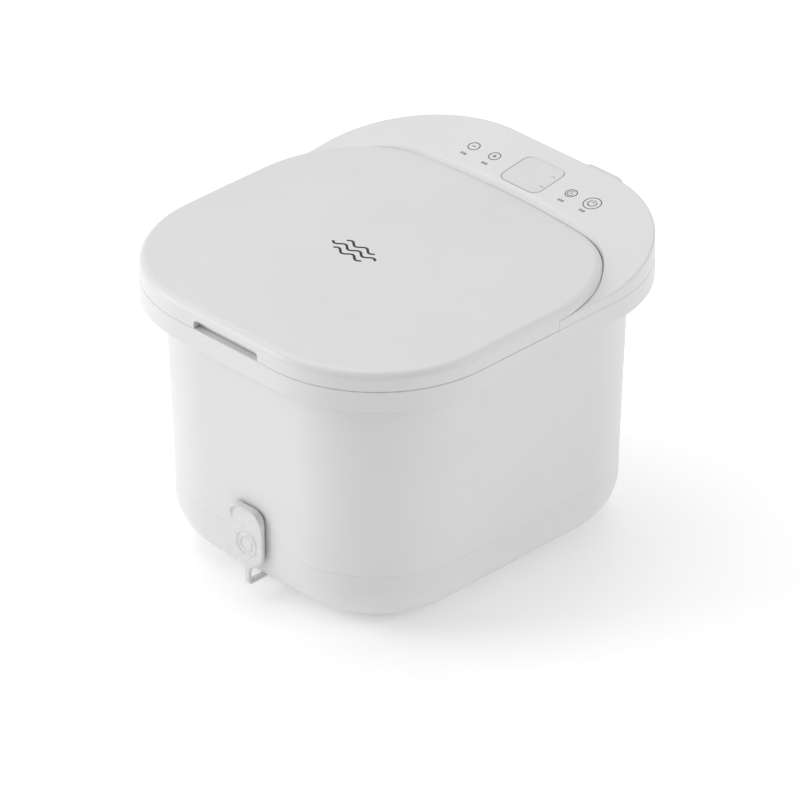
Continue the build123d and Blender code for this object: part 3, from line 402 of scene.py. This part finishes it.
# ------------------------------------------------------------------ printed mark on the lid
lid_top = surface_of("lid_shell")
mark_x, mark_y = -12 * MM, -46 * MM
wave_length, wave_height, wave_gap, wave_line_w = 17 * MM, 2.4 * MM, 8.0 * MM, 2.3 * MM
longest_wave = 3
ink_black = ink("ink_black", (0.02, 0.02, 0.021))


def wave(x, y, count):
    """A wavy line of count full waves."""
    steps = 18 * count
    length = wave_length * count
    run = [length * (i / steps - 0.5) for i in range(steps + 1)]
    return [(x + s, y + wave_height * sin(2 * pi * s / wave_length)) for s in run]


waves = []
for row in (-1, 0, 1):
    run = wave(mark_x, mark_y + row * wave_gap, longest_wave - abs(row))
    waves.append((run, wave_line_w, False))
printed("lid_wave_print", lid_top, waves, ink_black, "lid")

# ------------------------------------------------------------------ soft drain plug with its strap
plug_low, plug_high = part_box("drain_plug")
strap_low, strap_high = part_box("plug_strap")
PLUG_T = 3.8 * MM
STRAP_THIN = 0.93
EDGE_R = 1.6 * MM
BEND_R = 2.4 * MM
TOP_CORNER_R = 12.5 * MM
BOTTOM_CORNER_R = 17 * MM
TONGUE_SOFT = 8 * MM
RAMP_PROUD = 1.3 * MM
BEAD_PROUD = 1.8 * MM
GROOVE_DEEP = 0.6 * MM
OUTER_RING_R, OUTER_RING_W, OUTER_RING_PROUD = 11.8 * MM, 1.1 * MM, 0.95 * MM
INNER_RING_R, INNER_RING_W, INNER_RING_PROUD = 7.0 * MM, 0.95 * MM, 0.9 * MM
RING_GAP_AT = radians(48)
hinge = [j for j in frame["joints"] if j["name"] == "plug_swing"][0]["pos_m"]
plate_y = hinge[1]
strap_z = hinge[2]
plate_half_w = (plug_high.x - plug_low.x) / 2
plate_top = plug_high.z
plate_bottom = plate_top - 58.5 * MM
tongue_z, tongue_half_h = 20 * MM, 26 * MM
strap_half_w = (strap_high.x - strap_low.x) / 2
ring_z = 54.5 * MM


def rounded_box(x, z, half_w, half_h, radius):
    """Signed distance to a rounded rectangle, negative inside."""
    qx, qz = abs(x) - half_w + radius, abs(z) - half_h + radius
    return hypot(max(qx, 0), max(qz, 0)) + min(max(qx, qz), 0) - radius


def plug_distance(x, z):
    """Signed distance to the outline of the plate with its tongue, with soft inner corners."""
    middle = (plate_top + plate_bottom) / 2
    corner_r = TOP_CORNER_R if z > middle else BOTTOM_CORNER_R
    plate = rounded_box(x, z - middle, plate_half_w, plate_top - middle, corner_r)
    tongue = rounded_box(x, z - tongue_z, strap_half_w, tongue_half_h, 1 * MM)
    blend = max(TONGUE_SOFT - abs(plate - tongue), 0) / TONGUE_SOFT
    return min(plate, tongue) - blend * blend * TONGUE_SOFT / 4


def half_width_at(z):
    """Half the outline's width at height z."""
    low, high = 0.0, plate_half_w + MM
    for _ in range(40):
        middle = (low + high) / 2
        low, high = (middle, high) if plug_distance(middle, z) < 0 else (low, middle)
    return low


def smooth_step(low, high, value):
    """0 below low, 1 above high and an S curve between them."""
    t = min(max((value - low) / (high - low), 0), 1)
    return t * t * (3 - 2 * t)


def ridge(value, width):
    """A soft ridge, 1 at value 0 and gone at width."""
    return 1 - smooth_step(0, width, abs(value))


def relief(x, z, depth_in):
    """How far the front stands proud: the top leans out to a finger bead, and two rings are embossed."""
    ramp = smooth_step(60 * MM, plate_top, z)
    near_top = smooth_step(70 * MM, 84 * MM, z)
    bead = near_top * (1 - smooth_step(2.0 * MM, 3.2 * MM, depth_in))
    groove = near_top * ridge(depth_in - 3.8 * MM, 1.0 * MM)
    away = hypot(x, z - ring_z)
    turn = atan2(z - ring_z, x)
    outside_gap = smooth_step(0.25, 0.45, abs(turn - RING_GAP_AT))
    outer = ridge(away - OUTER_RING_R, OUTER_RING_W)
    inner = ridge(away - INNER_RING_R, INNER_RING_W) * outside_gap
    rings = OUTER_RING_PROUD * outer + INNER_RING_PROUD * inner
    return RAMP_PROUD * ramp + BEAD_PROUD * bead - GROOVE_DEEP * groove + rings


def rounding(depth_in):
    """Half thickness at a distance inside the outline, with a round edge."""
    inside = min(max(depth_in, 0), EDGE_R)
    return PLUG_T / 2 - EDGE_R + sqrt(max(EDGE_R**2 - (EDGE_R - inside) ** 2, 0))


edge_steps = [0, 0.08 * MM, 0.3 * MM, 0.7 * MM, 1.1 * MM, EDGE_R]
ACROSS = 72
STRAP_STEPS = 24
BEND_STEPS = 12
ROW_STEP = 0.5 * MM
plate_heights = []
z = strap_z + BEND_R
while z < plate_top - EDGE_R - ROW_STEP / 2:
    plate_heights.append(z)
    z += ROW_STEP
plate_heights += [plate_top - step for step in reversed(edge_steps)]


def across(half_w):
    """Places across a row, close together near its two edges."""
    inner = half_w - EDGE_R
    middle = [inner * (2 * i / ACROSS - 1) for i in range(ACROSS + 1)]
    left = [-half_w + step for step in edge_steps[:-1]]
    return left + middle + [-x for x in reversed(left)]


def plug_rows():
    """Rows of (front, back) points from the strap's inner end, round the bend and up the plate."""
    rows = []
    bend_y = plate_y + BEND_R
    strap_run = [strap_high.y - (strap_high.y - bend_y) * i / STRAP_STEPS for i in range(STRAP_STEPS + 1)]
    spine = [((y, strap_z), (0, -1)) for y in strap_run]
    for i in range(1, BEND_STEPS):
        turn = pi / 2 * i / BEND_STEPS
        normal = (-sin(turn), -cos(turn))
        spine.append(((bend_y + BEND_R * normal[0], strap_z + BEND_R + BEND_R * normal[1]), normal))
    places = across(strap_half_w)
    for (y, z), (ny, nz) in spine:
        row = []
        for x in places:
            half = rounding(strap_half_w - abs(x)) * STRAP_THIN
            row.append(((x, y + ny * half, z + nz * half), (x, y - ny * half, z - nz * half)))
        rows.append(row)
    tongue_top = plate_bottom - 6 * MM
    for z in plate_heights:
        row = []
        for x in across(max(half_width_at(z), 2 * EDGE_R)):
            depth_in = max(-plug_distance(x, z), 0)
            half = rounding(depth_in) * (STRAP_THIN if z < tongue_top else 1.0)
            front = half + relief(x, z, depth_in) * smooth_step(0, 1.2 * MM, depth_in)
            row.append(((x, plate_y - front, z), (x, plate_y + half, z)))
        rows.append(row)
    return rows


def sheet_pair(rows):
    """Closed mesh from rows of front and back points of equal count."""
    width = len(rows[0])
    points = [p for row in rows for pair in row for p in pair]

    def index(i, j, side):
        return 2 * (i * width + j) + side

    faces = []
    for i in range(len(rows) - 1):
        for j in range(width - 1):
            for side in (0, 1):
                low = [index(i, j, side), index(i, j + 1, side)]
                high = [index(i + 1, j + 1, side), index(i + 1, j, side)]
                faces.append(low + high)
        for j in (0, width - 1):
            faces.append([index(i, j, 0), index(i + 1, j, 0), index(i + 1, j, 1), index(i, j, 1)])
    for i in (0, len(rows) - 1):
        for j in range(width - 1):
            faces.append([index(i, j, 0), index(i, j + 1, 0), index(i, j + 1, 1), index(i, j, 1)])
    return points, faces


plug_points, plug_faces = sheet_pair(plug_rows())
soft_plug = add_piece("drain_plug_soft", plug_points, plug_faces, looks["plug_white"])
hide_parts("drain_plug", "plug_strap")
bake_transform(soft_plug)


def lathe(name, axis_point, profile, material):
    """A turned piece about an axis along +Y. Its profile is (distance along the axis, radius)."""
    steps = 72
    points, faces = [], []
    for along, radius in profile:
        for i in range(steps):
            turn = 2 * pi * i / steps
            offset = Vector((radius * cos(turn), along, radius * sin(turn)))
            points.append(Vector(axis_point) + offset)
    for row in range(len(profile) - 1):
        for i in range(steps):
            a, b = row * steps + i, row * steps + (i + 1) % steps
            faces.append((a, b, b + steps, a + steps))
    faces.append(tuple(range(steps)))
    faces.append(tuple(range((len(profile) - 1) * steps, len(profile) * steps)))
    return add_piece(name, points, faces, material)


stem_sunk = 0.4 * MM
stem_profile = [(0.0, 8.5), (1.2, 8.5), (1.6, 8.1), (3.6, 8.0), (4.0, 8.35), (4.6, 8.35), (5.0, 7.8)]
stem_profile += [(7.0, 7.6), (7.4, 7.9), (8.0, 7.9), (8.4, 7.3), (10.2, 6.9), (10.8, 6.5), (11.0, 5.9)]
stem = lathe(
    "drain_plug_stem",
    (0, plate_y + PLUG_T / 2 - stem_sunk, ring_z),
    [(along * MM, radius * MM) for along, radius in stem_profile],
    looks["plug_white"],
)
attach(stem, "plug")


# ------------------------------------------------------------------ studio and camera
FLOOR_REACH = 30.0
FLOOR_GLOW = 0.2
SKY_STRENGTH = 0.43
LIGHT_AIM = Vector((0, 0, 0.15))
# name: (place in metres, side of the square in metres, power in watts)
SOFTBOXES = {
    "key_left": ((-2.8, -2.6, 1.7), 2.6, 74),
    "fill_right": ((3.2, 1.8, 1.6), 2.2, 33),
    "overhead": ((-0.9, 0.4, 3.4), 3.4, 57),
}
CAMERA_PLACE = (3.88106, -3.84540, 3.37977)
CAMERA_YAW, CAMERA_PITCH = radians(45.30), radians(30.84)
FOCAL_LENGTH = 331.7


def stage_floor():
    """A large pale floor."""
    look = Look("studio_floor")
    look.drive("Base Color", look.ramp(look.noise(0.6), (0.955, 0.955, 0.955), (0.965, 0.965, 0.965)))
    look.set(Roughness=0.9, Emission_Color=(1, 1, 1, 1), Emission_Strength=FLOOR_GLOW)
    mesh = bpy.data.meshes.new("studio_floor")
    corners = [(FLOOR_REACH * x, FLOOR_REACH * y, 0) for x, y in ((-1, -1), (1, -1), (1, 1), (-1, 1))]
    mesh.from_pydata(corners, [], [(0, 1, 2, 3)])
    mesh.materials.append(look.material)
    floor = bpy.data.objects.new("studio_floor", mesh)
    bpy.context.scene.collection.objects.link(floor)


def softbox(name, place, size, power):
    """A square area light that faces the object."""
    light = bpy.data.lights.new(name, "AREA")
    light.size = size
    light.energy = power
    lamp = bpy.data.objects.new(name, light)
    lamp.location = place
    aim = LIGHT_AIM - Vector(place)
    lamp.rotation_euler = aim.to_track_quat("-Z", "Y").to_euler()
    bpy.context.scene.collection.objects.link(lamp)


def studio():
    """An even white surround, the floor and three soft boxes."""
    world = bpy.data.worlds.new("studio")
    world.use_nodes = True
    background = world.node_tree.nodes["Background"]
    background.inputs["Color"].default_value = (1, 1, 1, 1)
    background.inputs["Strength"].default_value = SKY_STRENGTH
    bpy.context.scene.world = world
    stage_floor()
    for name, (place, size, power) in SOFTBOXES.items():
        softbox(name, place, size, power)


def camera():
    """The camera looks down at the front right corner from far away."""
    yaw, pitch = CAMERA_YAW, CAMERA_PITCH
    lens = bpy.data.cameras.new("camera")
    lens.sensor_width = 36.0
    lens.lens = FOCAL_LENGTH
    lens.shift_x = 0.0019
    lens.shift_y = 0.0004
    lens.clip_end = 100
    view = bpy.data.objects.new("camera", lens)
    view.location = CAMERA_PLACE
    forward = Vector((-sin(yaw) * cos(pitch), cos(yaw) * cos(pitch), -sin(pitch)))
    view.rotation_euler = forward.to_track_quat("-Z", "Y").to_euler()
    bpy.context.scene.collection.objects.link(view)
    bpy.context.scene.camera = view


studio()
camera()
bpy.context.scene.view_settings.view_transform = "Standard"
